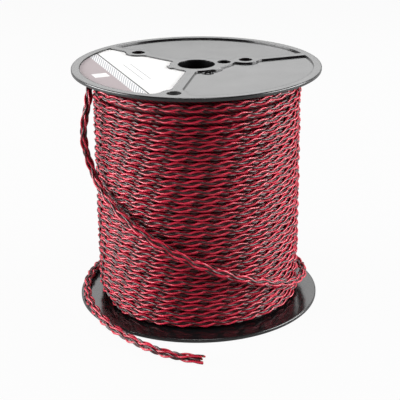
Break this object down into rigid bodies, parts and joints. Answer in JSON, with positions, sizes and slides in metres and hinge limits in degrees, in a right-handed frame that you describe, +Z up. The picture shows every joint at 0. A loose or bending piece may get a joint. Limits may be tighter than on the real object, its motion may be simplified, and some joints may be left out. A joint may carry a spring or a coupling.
{
  "type": "wire spool",
  "caption": "Black moulded spool with a flange at each end and a through bore, wound with red and dark braided cable whose loose end runs round the winding to a cut end.",
  "frame": {"origin": "centre of the lower flange's outer face, where the spool stands", "axes": "+Z up along the bore; -Y towards the side where the cable's cut end lies; +X to the right seen from there"},
  "size_m": [0.2032, 0.2405, 0.201],
  "materials": {
    "spool_plastic": "moulded, satin gloss",
    "label_paper": "coated label paper, matt",
    "cable_core": "braided cable under the outer layer",
    "red_insulation": "extruded wire insulation, gloss",
    "dark_insulation": "extruded wire insulation, gloss",
    "copper": "cut copper strands"
  },
  "bodies": {
    "root": {"upper_flange": "spool_plastic", "lower_flange": "spool_plastic", "barrel": "spool_plastic", "label": "label_paper", "cable_inner_layers": "cable_core", "cable_outer_layer": "red_insulation", "cable_tail": "red_insulation", "red_wire_end_1": "red_insulation", "red_wire_end_2": "red_insulation", "red_wire_end_3": "red_insulation", "red_wire_end_4": "red_insulation", "dark_wire_end_1": "dark_insulation", "dark_wire_end_2": "dark_insulation", "dark_wire_end_3": "dark_insulation", "dark_wire_end_4": "dark_insulation", "conductor_1": "copper", "conductor_2": "copper", "conductor_3": "copper", "conductor_4": "copper", "conductor_5": "copper", "conductor_6": "copper", "conductor_7": "copper", "conductor_8": "copper"}
  },
  "joints": []
}
